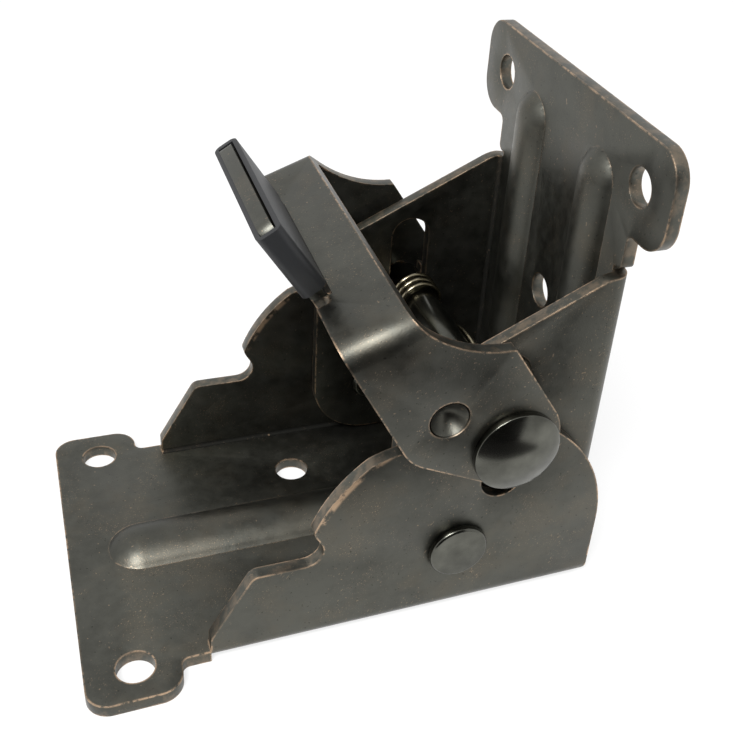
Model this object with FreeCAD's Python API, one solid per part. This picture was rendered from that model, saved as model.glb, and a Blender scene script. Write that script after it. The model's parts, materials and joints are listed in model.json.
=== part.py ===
"""Folding table leg bracket with a spring-held lock pin.

A base channel is screwed to the table, a leg channel turns in it on two
rivets, and a yoke lever carries the lock pin that drops into the base's cheeks.
All sizes are in millimetres.  Origin: midway between the two ear holes of the
base, on the face that lies on the table.  X runs along the base towards the
leg, Y across it, Z away from the table.  The leg stands open at 90 degrees.
"""
import FreeCAD, Part
import math
import os

Vec = FreeCAD.Vector

# Modelling limits
past = 1.0                   # how far a cutter reaches past what it cuts
tight_r = 0.01               # left off the radius of a fully round slot end
same = 0.01                  # places closer than this are one place

# Sheet and screws
sheet_t = 2.0
bend_in_r = 0.6              # inside radius of the channel bends
ear_out = 5.2                # ears of both channels beyond the base's cheeks
relief_w = 0.8               # slit beside the end of the leg's bends
screw_hole_d = 5.5

# Clearances
cheek_gap = 0.3              # leg cheek to base cheek, each side
arm_gap = 0.35               # lever arm to base cheek, each side
run_gap = 0.05               # radial play of a pin in its bore
seat_gap = 0.3               # pieces that bear on each other without being a fit
head_gap = 0.05              # rivet head to the sheet under it

# Base bracket
base_w = 48.0                # over the cheeks
ear_hole_inset = 7.1         # ear hole to the end of the base
base_ear_l = 13.4
base_ear_pitch = 47.0
ear_corner_r = 3.4
ear_root_r = 1.2
floor_hole_x = 31.4
floor_hole_pitch = 23.2
cheek_start_x = 10.6
cheek_foot_z = 4.4
cheek_foot_r = 1.0
slope_top_x = 16.8
slope_top_r = 1.6
lip_rise = 5.985             # tip of the folded seat's hook above the step
seat_in = 3.35               # foot of the seat's wall in from that tip
seat_r = 2.6
lip_r = 1.2
cam_r = 24.0
base_corner_r = 2.2
base_rib_x0 = -1.0
base_rib_x1 = 45.0
base_rib_w = 10.2
base_rib_h = 2.3

# Leg bracket
leg_plate_x = 68.9           # inner face of the plate
leg_top_z = 77.3
leg_ear_l = 14.8
leg_ear_pitch = 43.0
leg_ear_hole_drop = 7.4      # hole below the top edge
leg_mid_hole_z = 41.1
leg_foot_gap = 0.4           # leg above the base floor at any fold angle
leg_foot_r = 1.5
leg_edge_z = 48.95           # cheek's sloping top edge, above the lock pin
leg_edge_slope = 0.507
leg_corner_r = 6.0
leg_crest_z = 56.0           # where that edge levels out beside the plate
leg_crest_r = 6.0
leg_neck_in = 0.7            # neck in from the cheeks' outer faces, each side
leg_neck_r = 1.0
leg_ear_corner_r = 4.6
leg_rib_y = 10.7
leg_rib_w = 9.0
leg_rib_z0 = 22.0
leg_rib_z1 = 70.6
leg_rib_h = 2.2

# Pivot rivets
pivot_x = 47.8
pivot_z = 12.6
pivot_r = 2.75
pivot_head_r = 4.6
pivot_head_h = 1.2
pivot_tail_r = 3.3           # formed head inside the leg
pivot_tail_h = 1.1
head_bevel = 0.3

# Lock pin and its travel in the leg's slots
lock_dx = 5.9                # lock pin beyond the pivot
lock_z = 32.7
lock_r = 3.0                 # between the leg's cheeks and through them
lock_end_r = 1.8             # through the base and the lever's arms
lock_slot_gap = 0.3          # pin to slot wall
lock_lift = 9.5
lock_head_r = 6.55
lock_head_rim = 1.1
lock_dome_h = 1.5
base_slot_end_z = 21.7       # lowest point of the lock slots in the base
ramp_gap = 0.2               # pin above the base's ramp
ramp_share = 0.6             # part of the fold that the ramp serves
ramp_steps = 9
over_cam = 8.0               # how far slot and ramp are cut beyond the cam arc
fold_deg = 90.0
step_gap = 1.6               # folded lock pin above the step

# Lever, in its own frame: a along the web's width, b square to the web, 0 at the arm's round end
pin_a = 0.15                 # lock pin's bore in that frame
pin_b = -1.45
web_tilt_deg = 22.2
web_b = 27.1                 # outer face of the web
web_a0 = -16.7
web_w = 10.0
lever_bend_r = 1.5
arm_end_r = 7.6
arm_heel_a = -14.3
arm_heel_b = 4.8
arm_heel_r = 7.0
arm_back_deg = 11.0          # lean of the arm's back edge
arm_back_b = 15.2
arm_back_r = 1.0
arm_hollow_r = 19.5
boss_angle_deg = 99.8        # boss as seen from the pivot, from +X
boss_r = 3.2
boss_h = 1.5
boss_nose = 0.7
pit_mouth_r = 3.0
pit_floor_r = 2.2
pit_depth = 2.1
tab_lean_deg = 101.1
tab_l = 13.2                 # from the web's outer face
tab_half_w = 13.2
tab_bend_r = 1.0
tab_corner_r = 2.0
tab_relief_w = 1.8
tab_relief_in = 2.2

# Grip sleeve on the tab
grip_wall = 0.7
grip_side_wall = 0.8
grip_back_gap = 0.3
grip_fit = 0.05
grip_start = 1.5             # above the web
grip_end_gap = 0.5           # metal showing at the tip
grip_corner_r = 1.1

# Lock spring
wire_r = 0.45
coil_r = 3.65                # to the wire's centre
coil_pitch = 1.6
coil_turns = 3
coil_side_gap = 2.2          # outer coil's wire centre to the leg's cheek
wire_flats = 6
spring_bend = 1.0
spring_run_drop = 3.7        # bridge below the pin's axis
hook_reach = 3.7             # bridge's hook beyond the pin's axis
hook_rise = 0.9
hook_half_w = 7.5
tail_rise = 1.4              # tails go straight up so far before they lean to the web
tail_web_a = -11.5           # where the tails bear under the web

# Places that follow from the sizes above
half_w = base_w / 2
ear_reach = half_w + ear_out
base_x0 = -ear_hole_inset
base_x1 = pivot_x + cam_r
leg_half_w = half_w - sheet_t - cheek_gap
leg_neck_half_w = leg_half_w - leg_neck_in
leg_plate_back = leg_plate_x + sheet_t
coil_outer_y = leg_half_w - sheet_t - coil_side_gap
arm_in = half_w + arm_gap
arm_out = arm_in + sheet_t
lock_x = pivot_x + lock_dx
lock_slot_r = lock_r + lock_slot_gap
step_z = pivot_z + lock_dx - lock_end_r - step_gap
leg_turn_r = pivot_z - sheet_t - leg_foot_gap


def on_xz(a, b):
    return Vec(a, 0, b)


def on_yz(a, b):
    return Vec(0, a, b)


def on_xy(a, b):
    return Vec(a, b, 0)


def rounded_wire(corners, place):
    """Closed wire through (a, b, radius) corners, each corner a true arc."""
    points = [place(a, b) for a, b, _ in corners]
    spans = []
    for i, (_, _, radius) in enumerate(corners):
        here = points[i]
        to_last = (points[i - 1] - here).normalize()
        to_next = (points[(i + 1) % len(points)] - here).normalize()
        if radius <= 0:
            spans.append((here, here, here))
            continue
        half = to_last.getAngle(to_next) / 2
        reach = radius / math.tan(half)
        inward = (to_last + to_next).normalize()
        middle = here + inward * (radius / math.sin(half) - radius)
        spans.append((here + to_last * reach, middle, here + to_next * reach))
    edges = []
    for i, (start, middle, end) in enumerate(spans):
        if (end - start).Length > same:
            edges.append(Part.Arc(start, middle, end).toShape())
        following = spans[(i + 1) % len(spans)][0]
        if (following - end).Length > same:
            edges.append(Part.makeLine(end, following))
    return Part.Wire(edges)


def prism(corners, place, start, sweep):
    """Extrude a rounded outline from `start` along `sweep`."""
    face = Part.Face(rounded_wire(corners, place))
    face.translate(start)
    return face.extrude(sweep)


def side_prism(corners, half_depth):
    """Prism across Y, centred on the part's middle plane."""
    return prism(corners, on_xz, Vec(0, -half_depth, 0), Vec(0, 2 * half_depth, 0))


def cross_bar(x, z, radius, half_depth):
    """Cylinder across Y, centred on the part's middle plane."""
    return Part.makeCylinder(radius, 2 * half_depth, Vec(x, -half_depth, z), Vec(0, 1, 0))


def channel(outer_half, web_out, web_in, flange_end, inner_r):
    """U section as YZ corners: the web between two levels, flanges to a third."""
    inner_half = outer_half - sheet_t
    outer_r = inner_r + sheet_t
    return [
        (-outer_half, flange_end, 0), (-outer_half, web_out, outer_r),
        (outer_half, web_out, outer_r), (outer_half, flange_end, 0),
        (inner_half, flange_end, 0), (inner_half, web_in, inner_r),
        (-inner_half, web_in, inner_r), (-inner_half, flange_end, 0),
    ]


def rib_solid(width, length, height, thinner=0.0):
    """Round-backed rib with domed ends along X, its foot in the plane Z = 0."""
    half = width / 2
    radius = (half ** 2 + height ** 2) / (2 * height)
    drop = radius - height
    section = radius - thinner
    inset = half
    body = Part.makeCylinder(section, length - 2 * inset, Vec(inset, 0, -drop), Vec(1, 0, 0))
    across = Vec(0, 1, 0)
    ends = [Part.makeSphere(section, Vec(x, 0, -drop), across) for x in (inset, length - inset)]
    return body.fuse(ends).removeSplitter()


def emboss(plate, width, length, height, placement):
    """Press a rib through a plate whose rib side is the local plane Z = 0."""
    box_l = length + 2 * past
    box_w = width + 2 * past
    above = Part.makeBox(box_l, box_w, height + sheet_t, Vec(-past, -box_w / 2, -sheet_t / 2))
    raised = rib_solid(width, length, height).common(above)
    hollow = rib_solid(width, length, height, sheet_t)
    below = Part.makeBox(box_l, box_w, sheet_t + height, Vec(-past, -box_w / 2, -sheet_t))
    hollow = hollow.common(below)
    raised.Placement = placement
    hollow.Placement = placement
    return plate.fuse(raised).cut(hollow)


def screw_hole(x, y, z, axis):
    """Cutter for one screw hole through the sheet, centred on the given point."""
    reach = 2 * sheet_t
    start = Vec(x, y, z) - axis * reach
    return Part.makeCylinder(screw_hole_d / 2, 2 * reach, start, axis)


def base_end_plate():
    """Flat end of the base with its two ears, up to the start of the cheeks."""
    ear_x1 = base_x0 + base_ear_l
    corners = [
        (base_x0, -ear_reach, ear_corner_r), (ear_x1, -ear_reach, ear_corner_r),
        (ear_x1, -half_w, ear_root_r), (cheek_start_x, -half_w, 0),
        (cheek_start_x, half_w, 0), (ear_x1, half_w, ear_root_r),
        (ear_x1, ear_reach, ear_corner_r), (base_x0, ear_reach, ear_corner_r),
    ]
    return prism(corners, on_xy, Vec(0, 0, 0), Vec(0, 0, sheet_t))


def edges_across(shape, x, z):
    """Edges of a shape that run across Y at a place in the side view."""
    found = []
    for edge in shape.Edges:
        ends = [v.Point for v in edge.Vertexes]
        if len(ends) == 2 and all(math.hypot(p.x - x, p.z - z) < same for p in ends):
            found.append(edge)
    return found


def base_cheek_outline():
    """Side view of the cheeks: foot, slope, step, folded seat and cam arc."""
    lip_z = step_z + lip_rise
    lip_x = pivot_x - math.sqrt(cam_r ** 2 - (lip_z - pivot_z) ** 2)
    stretch = 1 + over_cam / cam_r
    out_x = pivot_x + stretch * (lip_x - pivot_x)
    out_z = pivot_z + stretch * (lip_z - pivot_z)
    end_x = min(cheek_start_x, out_x) - past
    seat = [
        (lip_x + seat_in, step_z, seat_r), (lip_x, lip_z, 0), (out_x, out_z, 0), (end_x, out_z, 0),
        (end_x, step_z, 0),
    ]
    disc = cross_bar(pivot_x, pivot_z, cam_r, half_w).cut(side_prism(seat, half_w + past))
    slab = [
        (cheek_start_x, 0, 0), (cheek_start_x, cheek_foot_z, cheek_foot_r),
        (slope_top_x, step_z, slope_top_r), (pivot_x, step_z, 0), (pivot_x, 0, 0),
    ]
    tail = [
        (pivot_x, 0, 0), (pivot_x, pivot_z, 0), (base_x1, pivot_z, 0), (base_x1, 0, base_corner_r),
    ]
    solid = disc.fuse([side_prism(slab, half_w), side_prism(tail, half_w)]).removeSplitter()
    return solid.makeFillet(lip_r, edges_across(solid, lip_x, lip_z))


def lock_path(fold):
    """Place of the lock pin in the side view, at a fold angle."""
    rise = lock_z - pivot_z + lock_lift * fold / fold_deg
    reach = math.hypot(rise, lock_dx)
    angle = math.atan2(rise, lock_dx) + math.radians(fold)
    return Vec(pivot_x + reach * math.cos(angle), 0, pivot_z + reach * math.sin(angle))


def ramp_cutter():
    """Room over the ramp that carries the lock pin from its slot up to the arc."""
    floor = []
    for i in range(ramp_steps):
        fold = fold_deg * ramp_share * i / (ramp_steps - 1)
        heading = (lock_path(fold + 0.5) - lock_path(fold - 0.5)).normalize()
        inward = Vec(heading.z, 0, -heading.x)
        if inward.dot(Vec(pivot_x, 0, pivot_z) - lock_path(fold)) < 0:
            inward = inward * -1
        floor.append(lock_path(fold) + inward * (lock_end_r + ramp_gap))
    curve = Part.BSplineCurve()
    curve.interpolate(floor)
    top = pivot_z + cam_r + 2 * over_cam
    outward = (floor[-1] - Vec(pivot_x, 0, pivot_z)).normalize()
    outer_end = floor[-1] + outward * over_cam
    corner = Vec(outer_end.x, 0, top)
    wall = Vec(lock_x + lock_slot_r, 0, top)
    wall_foot = Vec(lock_x + lock_slot_r, 0, floor[0].z)
    edges = [curve.toShape(), Part.makeLine(floor[-1], outer_end), Part.makeLine(outer_end, corner),
             Part.makeLine(corner, wall), Part.makeLine(wall, wall_foot), Part.makeLine(wall_foot, floor[0])]
    face = Part.Face(Part.Wire(edges))
    face.translate(Vec(0, -half_w - past, 0))
    return face.extrude(Vec(0, base_w + 2 * past, 0))


def base_slot_cutter():
    """Lock slots of the base, open at the cam arc."""
    top = pivot_z + cam_r + over_cam
    corners = [
        (lock_x - lock_slot_r, base_slot_end_z, lock_slot_r - tight_r),
        (lock_x + lock_slot_r, base_slot_end_z, lock_slot_r - tight_r),
        (lock_x + lock_slot_r, top, 0), (lock_x - lock_slot_r, top, 0),
    ]
    return side_prism(corners, half_w + past)


def base_bracket():
    length = base_x1 - cheek_start_x
    section = channel(half_w, 0, sheet_t, pivot_z + cam_r + past, bend_in_r)
    body = prism(section, on_yz, Vec(cheek_start_x, 0, 0), Vec(length, 0, 0))
    body = body.common(base_cheek_outline())
    body = body.cut(ramp_cutter()).cut(base_slot_cutter())
    body = body.cut(cross_bar(pivot_x, pivot_z, pivot_r + run_gap, half_w + past))
    body = body.fuse(base_end_plate()).removeSplitter()
    rib_at = FreeCAD.Placement(Vec(base_rib_x0, 0, sheet_t), FreeCAD.Rotation())
    body = emboss(body, base_rib_w, base_rib_x1 - base_rib_x0, base_rib_h, rib_at)
    up = Vec(0, 0, 1)
    for side in (-1, 1):
        body = body.cut(screw_hole(0, side * base_ear_pitch / 2, sheet_t / 2, up))
        body = body.cut(screw_hole(floor_hole_x, side * floor_hole_pitch / 2, sheet_t / 2, up))
    return body.removeSplitter()


def leg_cheek_outline():
    """Side view of the leg channel: round foot, straight edge and sloping top."""
    left = pivot_x - leg_turn_r
    bottom = pivot_z - leg_turn_r
    crest_x = lock_x + (leg_crest_z - leg_edge_z) / leg_edge_slope
    left_z = leg_edge_z + leg_edge_slope * (left - lock_x)
    corners = [
        (left, bottom, leg_turn_r), (leg_plate_back, bottom, leg_foot_r), (leg_plate_back, leg_crest_z, 0),
        (crest_x, leg_crest_z, leg_crest_r), (left, left_z, leg_corner_r),
    ]
    return side_prism(corners, leg_half_w)


def leg_top_plate():
    """Flat top of the leg bracket: a neck between the bends, and two ears."""
    ear_z0 = leg_top_z - leg_ear_l
    flat_half = leg_half_w - sheet_t - bend_in_r
    neck_z = leg_crest_z + relief_w
    foot_z = leg_crest_z - 2 * sheet_t
    right = [
        (flat_half, foot_z, 0), (flat_half, neck_z, 0), (leg_neck_half_w, neck_z, leg_neck_r),
        (leg_neck_half_w, ear_z0, ear_root_r), (ear_reach, ear_z0, leg_ear_corner_r),
        (ear_reach, leg_top_z, leg_ear_corner_r),
    ]
    left = [(-y, z, r) for y, z, r in reversed(right)]
    return prism(right + left, on_yz, Vec(leg_plate_x, 0, 0), Vec(sheet_t, 0, 0))


def leg_slot_cutter():
    """Oblong slots that guide the lock pin."""
    wall = leg_half_w + past
    low = cross_bar(lock_x, lock_z, lock_slot_r, wall)
    high = cross_bar(lock_x, lock_z + lock_lift, lock_slot_r, wall)
    middle = Part.makeBox(2 * lock_slot_r, 2 * wall, lock_lift, Vec(lock_x - lock_slot_r, -wall, lock_z))
    return low.fuse([high, middle]).removeSplitter()


def leg_bracket():
    bottom = pivot_z - leg_turn_r
    left = pivot_x - leg_turn_r
    inner_half = leg_half_w - sheet_t
    outer_r = bend_in_r + sheet_t
    section = [
        (left, -leg_half_w, 0), (leg_plate_back, -leg_half_w, outer_r),
        (leg_plate_back, leg_half_w, outer_r), (left, leg_half_w, 0),
        (left, inner_half, 0), (leg_plate_x, inner_half, bend_in_r),
        (leg_plate_x, -inner_half, bend_in_r), (left, -inner_half, 0),
    ]
    body = prism(section, on_xy, Vec(0, 0, bottom), Vec(0, 0, leg_crest_z - bottom))
    body = body.common(leg_cheek_outline())
    body = body.cut(leg_slot_cutter())
    body = body.cut(cross_bar(pivot_x, pivot_z, pivot_r + run_gap, leg_half_w + past))
    body = body.fuse(leg_top_plate()).removeSplitter()
    turn = FreeCAD.Rotation(Vec(0, 0, -1), Vec(0, 1, 0), Vec(-1, 0, 0))
    for side in (-1, 1):
        rib_at = FreeCAD.Placement(Vec(leg_plate_x, side * leg_rib_y, leg_rib_z1), turn)
        body = emboss(body, leg_rib_w, leg_rib_z1 - leg_rib_z0, leg_rib_h, rib_at)
    along = Vec(1, 0, 0)
    middle = leg_plate_x + sheet_t / 2
    hole_z = leg_top_z - leg_ear_hole_drop
    for side in (-1, 1):
        body = body.cut(screw_hole(middle, side * leg_ear_pitch / 2, hole_z, along))
    return body.cut(screw_hole(middle, 0, leg_mid_hole_z, along)).removeSplitter()


def lever_frame(shape):
    """Turn a shape from the lever's own frame into place on the lock pin."""
    shape.translate(Vec(-pin_a, 0, -pin_b))
    shape.rotate(Vec(0, 0, 0), Vec(0, 1, 0), -web_tilt_deg)
    shape.translate(Vec(lock_x, 0, lock_z))
    return shape


def lever_side_outline():
    """Side view of the yoke: web end, heel, round pin end and hollowed back."""
    web_a1 = web_a0 + web_w
    lean = math.radians(arm_back_deg)
    back_a = (arm_end_r - arm_back_b * math.sin(lean)) / math.cos(lean)
    heel_dir = math.atan2(arm_heel_b, arm_heel_a)
    heel_len = math.hypot(arm_heel_a, arm_heel_b)
    sole_dir = heel_dir + math.acos(arm_end_r / heel_len)
    sole_n = (math.cos(sole_dir), math.sin(sole_dir))
    back_n = (math.cos(lean), math.sin(lean))
    det = sole_n[0] * back_n[1] - sole_n[1] * back_n[0]
    toe_a = arm_end_r * (back_n[1] - sole_n[1]) / det
    toe_b = arm_end_r * (sole_n[0] - back_n[0]) / det
    above = web_b + past
    corners = [
        (web_a0, above, 0), (web_a0, web_b, 0), (arm_heel_a, arm_heel_b, arm_heel_r),
        (toe_a, toe_b, arm_end_r), (back_a, arm_back_b, arm_back_r), (web_a1, web_b, 0), (web_a1, above, 0),
    ]
    outline = side_prism(corners, arm_out)
    chord = Vec(web_a1 - back_a, 0, web_b - arm_back_b)
    half = chord.Length / 2
    centre_off = math.sqrt(arm_hollow_r ** 2 - half ** 2)
    normal = Vec(chord.z, 0, -chord.x).normalize()
    centre = Vec(back_a, 0, arm_back_b) + chord * 0.5 + normal * centre_off
    return outline.cut(cross_bar(centre.x, centre.z, arm_hollow_r, arm_out + past))


def lever_tab():
    """Thumb tab bent up from the web's edge."""
    lean = math.radians(tab_lean_deg)
    along = (math.cos(lean), math.sin(lean))
    inward = (math.sin(lean), -math.cos(lean))
    web_in = web_b - sheet_t
    foot_a = web_a0 - along[0] / along[1] * sheet_t
    inner_a = web_a0 + inward[0] * sheet_t - along[0] / along[1] * (inward[1] * sheet_t)
    tip = (web_a0 + along[0] * tab_l, web_b + along[1] * tab_l)
    tip_in = (tip[0] + inward[0] * sheet_t, tip[1] + inward[1] * sheet_t)
    web_mid = web_a0 + web_w / 2
    corners = [
        (foot_a, web_in, tab_bend_r + sheet_t), (web_mid, web_in, 0), (web_mid, web_b, 0),
        (inner_a, web_b, tab_bend_r), (tip_in[0], tip_in[1], 0), (tip[0], tip[1], 0),
    ]
    strip = side_prism(corners, tab_half_w)
    tip_edges = [e for e in strip.Edges if is_tab_corner(e, tip, tip_in)]
    return strip.makeFillet(tab_corner_r, tip_edges)


def is_tab_corner(edge, tip, tip_in):
    """True for the two short edges at the tab's outer corners."""
    middle = edge.CenterOfMass
    centre = Vec((tip[0] + tip_in[0]) / 2, 0, (tip[1] + tip_in[1]) / 2)
    return abs(abs(middle.y) - tab_half_w) < same and (Vec(middle.x, 0, middle.z) - centre).Length < same


def boss_place():
    """Boss centre in the lever's frame, bearing on the cam arc."""
    reach = cam_r + boss_r + seat_gap
    angle = math.radians(boss_angle_deg)
    dx = pivot_x + reach * math.cos(angle) - lock_x
    dz = pivot_z + reach * math.sin(angle) - lock_z
    tilt = math.radians(web_tilt_deg)
    along = dx * math.cos(tilt) + dz * math.sin(tilt)
    square = dz * math.cos(tilt) - dx * math.sin(tilt)
    return pin_a + along, pin_b + square


def boss_and_pit(side):
    """Pressed boss on an arm's inner face, and the pit that it leaves outside."""
    a, b = boss_place()
    boss = Part.makeCylinder(boss_r, boss_h + sheet_t / 2, Vec(a, 0, b), Vec(0, -side, 0))
    rim = [e for e in boss.Edges if abs(abs(e.CenterOfMass.y) - boss_h - sheet_t / 2) < same]
    boss = boss.makeChamfer(boss_nose, rim)
    boss.translate(Vec(0, side * (arm_in + sheet_t / 2), 0))
    pit = Part.makeCone(pit_mouth_r, pit_floor_r, pit_depth, Vec(a, side * arm_out, b), Vec(0, -side, 0))
    return boss, pit


def lock_lever():
    top = web_b
    section = channel(arm_out, top, top - sheet_t, -arm_end_r - past, lever_bend_r)
    yoke_l = arm_end_r - web_a0 + 2 * past
    yoke = prism(section, on_yz, Vec(web_a0 - past, 0, 0), Vec(yoke_l, 0, 0))
    yoke = yoke.common(lever_side_outline())
    yoke = yoke.fuse(lever_tab()).removeSplitter()
    for side in (-1, 1):
        near = side * tab_half_w
        far = side * (tab_half_w + tab_relief_w)
        end_r = tab_relief_w / 2 - tight_r
        notch = [
            (web_a0 - sheet_t, near, 0), (web_a0 + tab_relief_in, near, end_r),
            (web_a0 + tab_relief_in, far, end_r), (web_a0 - sheet_t, far, 0),
        ]
        yoke = yoke.cut(prism(notch, on_xy, Vec(0, 0, web_b - 2 * sheet_t), Vec(0, 0, 3 * sheet_t)))
    yoke = yoke.cut(cross_bar(pin_a, pin_b, lock_end_r + run_gap, arm_out + past))
    for side in (-1, 1):
        boss, pit = boss_and_pit(side)
        yoke = yoke.fuse(boss).cut(pit)
    return lever_frame(yoke.removeSplitter())


def lever_grip():
    """Sleeve over the tab, closed all round and open at the tip."""
    depth = grip_wall + grip_fit + sheet_t + grip_back_gap + grip_wall
    half_out = tab_half_w + grip_fit + grip_side_wall
    front = -grip_wall - grip_fit
    outer = [
        (front, -half_out, grip_corner_r), (front + depth, -half_out, grip_corner_r),
        (front + depth, half_out, grip_corner_r), (front, half_out, grip_corner_r),
    ]
    half_in = tab_half_w + grip_fit
    inner = [
        (-grip_fit, -half_in, 0), (sheet_t + grip_back_gap, -half_in, 0),
        (sheet_t + grip_back_gap, half_in, 0), (-grip_fit, half_in, 0),
    ]
    length = tab_l - grip_start - grip_end_gap
    sleeve = prism(outer, on_xy, Vec(0, 0, grip_start), Vec(0, 0, length))
    sleeve = sleeve.cut(prism(inner, on_xy, Vec(0, 0, grip_start - past), Vec(0, 0, length + 2 * past)))
    sleeve.rotate(Vec(0, 0, 0), Vec(0, 1, 0), 90 - tab_lean_deg)
    sleeve.translate(Vec(web_a0, 0, web_b))
    return lever_frame(sleeve)


def pivot_rivet(side):
    """Rivet through one pair of cheeks: flat bevelled head outside, formed head inside."""
    inner_y = leg_half_w - sheet_t - head_gap
    outer_y = half_w + head_gap
    along = Vec(0, side, 0)
    shank = Part.makeCylinder(pivot_r, outer_y - inner_y, Vec(pivot_x, side * inner_y, pivot_z), along)
    head = Part.makeCylinder(pivot_head_r, pivot_head_h, Vec(pivot_x, side * outer_y, pivot_z), along)
    rim = [e for e in head.Edges if e.Closed and abs(e.CenterOfMass.y) > outer_y + pivot_head_h - same]
    head = head.makeChamfer(head_bevel, rim)
    tail = Part.makeCone(pivot_tail_r, pivot_tail_r - pivot_tail_h / 2, pivot_tail_h,
                         Vec(pivot_x, side * inner_y, pivot_z), along * -1)
    return shank.fuse([head, tail]).removeSplitter()


def lock_pin():
    """Stepped pin through arms, base and leg, with a domed head at each end."""
    seat = arm_out + head_gap
    shank = cross_bar(lock_x, lock_z, lock_end_r, seat)
    middle = cross_bar(lock_x, lock_z, lock_r, leg_half_w + cheek_gap / 2)
    dome_r = (lock_head_r ** 2 + lock_dome_h ** 2) / (2 * lock_dome_h)
    heads = []
    for side in (-1, 1):
        rim = Part.makeCylinder(lock_head_r, lock_head_rim + lock_dome_h, Vec(0, 0, 0), Vec(0, side, 0))
        ball = Part.makeSphere(dome_r, Vec(0, side * (lock_head_rim + lock_dome_h - dome_r), 0))
        head = rim.common(ball)
        head.translate(Vec(lock_x, side * seat, lock_z))
        heads.append(head)
    return shank.fuse([middle] + heads).removeSplitter()


def wire_section(at, heading):
    """Cross-section of the spring wire, with a few flats, square to a heading that has no X."""
    out = Vec(1, 0, 0)
    up = heading.cross(out)
    corners = []
    for i in range(wire_flats):
        turn = 2 * math.pi * (i + 0.5) / wire_flats
        corners.append(at + out * (wire_r * math.cos(turn)) + up * (wire_r * math.sin(turn)))
    return Part.makePolygon(corners + corners[:1])


def wire_run(points, bend):
    """Wire through the points, bent to a radius at each inner point."""
    edges = []
    start = points[0]
    for i in range(1, len(points) - 1):
        back = (points[i - 1] - points[i]).normalize()
        on = (points[i + 1] - points[i]).normalize()
        half = back.getAngle(on) / 2
        reach = bend / math.tan(half)
        middle = points[i] + (back + on).normalize() * (bend / math.sin(half) - bend)
        edges.append(Part.makeLine(start, points[i] + back * reach))
        edges.append(Part.Arc(points[i] + back * reach, middle, points[i] + on * reach).toShape())
        start = points[i] + on * reach
    edges.append(Part.makeLine(start, points[-1]))
    path = Part.Wire(edges)
    heading = (points[1] - points[0]).normalize()
    return path.makePipeShell([wire_section(points[0], heading)], True, False)


def coil(side):
    """One coil stack round the lock pin, wound inwards from its left side."""
    helix = Part.makeHelix(coil_pitch, coil_pitch * coil_turns, coil_r)
    heading = Vec(0, 1, coil_pitch / (2 * math.pi * coil_r)).normalize()
    section = wire_section(Vec(coil_r, 0, 0), heading)
    stack = Part.Wire(helix.Edges).makePipeShell([section], True, True)
    stack.rotate(Vec(0, 0, 0), Vec(0, 0, 1), 180)
    stack.rotate(Vec(0, 0, 0), Vec(1, 0, 0), 90)
    stack.translate(Vec(lock_x, coil_outer_y, lock_z))
    if side < 0:
        stack = stack.mirror(Vec(0, 0, 0), Vec(0, 1, 0))
    return stack


def web_underside(a):
    """Place just under the web, in the side view."""
    tilt = math.radians(web_tilt_deg)
    along = a - pin_a
    square = web_b - sheet_t - seat_gap - wire_r - pin_b
    return (lock_x + along * math.cos(tilt) - square * math.sin(tilt),
            lock_z + along * math.sin(tilt) + square * math.cos(tilt))


def lock_spring():
    """Double torsion spring: two coil stacks, tails under the web, a bridge hooked round the pin."""
    inner_y = coil_outer_y - coil_pitch * coil_turns
    coil_x = lock_x - coil_r
    run_z = lock_z - spring_run_drop
    hook_x = lock_x + hook_reach
    tail_x, tail_z = web_underside(tail_web_a)
    parts = []
    for side in (-1, 1):
        outer_y = side * coil_outer_y
        tail = [Vec(coil_x, outer_y, lock_z), Vec(coil_x, outer_y, lock_z + tail_rise),
                Vec(tail_x, outer_y, tail_z)]
        parts += [coil(side), wire_run(tail, spring_bend)]
        for y in (coil_outer_y, inner_y):
            knuckle_at = Vec(coil_x, side * y, lock_z - wire_r)
            parts.append(Part.makeCylinder(wire_r, 2 * wire_r, knuckle_at, Vec(0, 0, 1)))
    half = [Vec(coil_x, inner_y, lock_z), Vec(coil_x, inner_y, run_z), Vec(coil_x, hook_half_w, run_z),
            Vec(hook_x, hook_half_w, run_z - wire_r), Vec(hook_x, hook_half_w, lock_z + hook_rise)]
    other = [Vec(p.x, -p.y, p.z) for p in reversed(half)]
    parts.append(wire_run(half + other, spring_bend))
    spring = parts[0]
    for part in parts[1:]:
        spring = spring.fuse(part)
    return spring


def main():
    os.makedirs("parts", exist_ok=True)
    nodes = {
        "base_bracket": base_bracket,
        "leg_bracket": leg_bracket,
        "lock_lever": lock_lever,
        "lever_grip": lever_grip,
        "pivot_rivet_left": lambda: pivot_rivet(1),
        "pivot_rivet_right": lambda: pivot_rivet(-1),
        "lock_pin": lock_pin,
        "lock_spring": lock_spring,
    }
    for name, build in nodes.items():
        shape = build()
        shape.exportStep("parts/" + name + ".step")
        print(name, shape.ShapeType, len(shape.Solids), round(shape.Volume, 1), shape.isValid())


main()
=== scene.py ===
"""Looks of a folding table leg bracket: blackened sheet steel, rivet pins, spring and thumb grip.

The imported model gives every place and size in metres.  X runs along the base,
Y across it, Z away from the table that it is screwed to.
"""

import json
import math

import bmesh
import bpy
from mathutils import Matrix, Vector
from mathutils.bvhtree import BVHTree


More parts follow.
